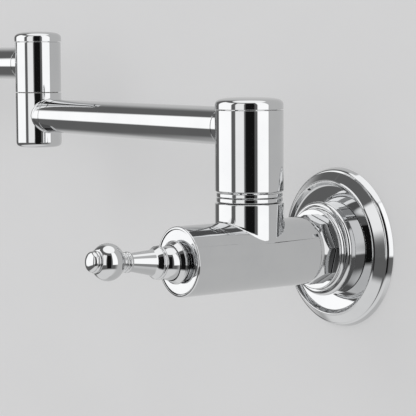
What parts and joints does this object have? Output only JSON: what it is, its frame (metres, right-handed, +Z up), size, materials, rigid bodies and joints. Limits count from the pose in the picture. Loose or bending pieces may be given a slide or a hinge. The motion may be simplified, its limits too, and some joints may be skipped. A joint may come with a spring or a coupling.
{
  "type": "wall mounted pot filler",
  "caption": "Wall mounted pot filler with two swivelling arms, a lever valve at the wall and a second lever valve above the spout.",
  "frame": {"origin": "the point where the inlet axis meets the wall", "axes": "+Y into the wall along the inlet axis, so the tap stands out towards -Y; +Z up; the arms reach along the wall towards -X at rest"},
  "size_m": [0.5021, 0.143, 0.1434],
  "materials": {
    "chrome": "mirror polished plating",
    "raw_brass": "turned, unplated",
    "rubber": "moulded, dull",
    "white_plastic": "moulded, satin",
    "ceramic": "lapped ceramic",
    "clip_steel": "spring steel"
  },
  "bodies": {
    "wall_valve": {"wall_gasket": "rubber", "escutcheon": "chrome", "escutcheon_collar": "chrome", "thrust_ring": "chrome", "union_nut": "chrome", "inlet_adapter": "raw_brass", "union_washer": "rubber", "valve_body": "chrome", "wall_bonnet": "chrome", "wall_rosette": "chrome", "wall_cartridge_cover": "white_plastic", "wall_cartridge_housing": "white_plastic", "wall_fixed_disc": "ceramic", "wall_port_seal": "rubber", "shoulder_spindle": "chrome", "shoulder_wear_ring": "chrome", "shoulder_lower_seal": "rubber", "shoulder_upper_seal": "rubber", "shoulder_thrust_washer": "white_plastic", "shoulder_clip": "clip_steel"},
    "arm_one": {"shoulder_hub": "chrome", "shoulder_cap": "chrome", "arm_one_tube": "chrome", "elbow_lower_hub": "chrome", "elbow_spindle": "raw_brass", "elbow_wear_ring": "white_plastic", "elbow_lower_seal": "rubber", "elbow_upper_seal": "rubber", "elbow_thrust_washer": "white_plastic", "elbow_clip": "clip_steel"},
    "arm_two": {"elbow_upper_hub": "chrome", "elbow_cap": "chrome", "arm_two_tube": "chrome", "outlet_body": "chrome", "outlet_spout": "chrome", "aerator_housing": "chrome", "aerator_insert": "white_plastic", "outlet_bonnet": "chrome", "outlet_rosette": "chrome", "outlet_cartridge_cover": "white_plastic", "outlet_cartridge_housing": "white_plastic", "outlet_fixed_disc": "ceramic", "outlet_port_seal": "rubber"},
    "wall_lever": {"wall_lever_pivot": "chrome", "wall_lever_shank": "chrome", "wall_lever_knob": "chrome", "wall_lever_finial": "chrome"},
    "wall_disc": {"wall_moving_disc": "ceramic"},
    "outlet_lever": {"outlet_lever_pivot": "chrome", "outlet_lever_shank": "chrome", "outlet_lever_knob": "chrome", "outlet_lever_finial": "chrome"},
    "outlet_disc": {"outlet_moving_disc": "ceramic"}
  },
  "joints": [
    {"name": "shoulder_swivel", "type": "hinge", "parent": "wall_valve", "child": "arm_one", "pos_m": [-0.0017, -0.0536, 0.045], "axis": [0, 0, 1], "range_deg": [0, 186]},
    {"name": "elbow_swivel", "type": "hinge", "parent": "arm_one", "child": "arm_two", "pos_m": [-0.20642, -0.04287, 0.0715], "axis": [0, 0, 1], "range_deg": [-150, 180]},
    {"name": "wall_lever_lift", "type": "hinge", "parent": "wall_valve", "child": "wall_lever", "pos_m": [0, -0.0996, 0], "axis": [-1, 0, 0], "range_deg": [0, 25]},
    {"name": "outlet_lever_lift", "type": "hinge", "parent": "arm_two", "child": "outlet_lever", "pos_m": [-0.44818, -0.07026, 0.0876], "axis": [-0.9986, 0.0523, 0], "range_deg": [0, 25]},
    {"name": "wall_disc_slide", "type": "slide", "parent": "wall_valve", "child": "wall_disc", "axis": [0, 0, -1], "range_m": [0, 0.0047]},
    {"name": "outlet_disc_slide", "type": "slide", "parent": "arm_two", "child": "outlet_disc", "axis": [0, 0, -1], "range_m": [0, 0.0047]}
  ],
  "couplings": [
    {"joint": "wall_disc_slide", "follows": "wall_lever_lift", "m_per_rad": 0.010408},
    {"joint": "outlet_disc_slide", "follows": "outlet_lever_lift", "m_per_rad": 0.010408}
  ]
}
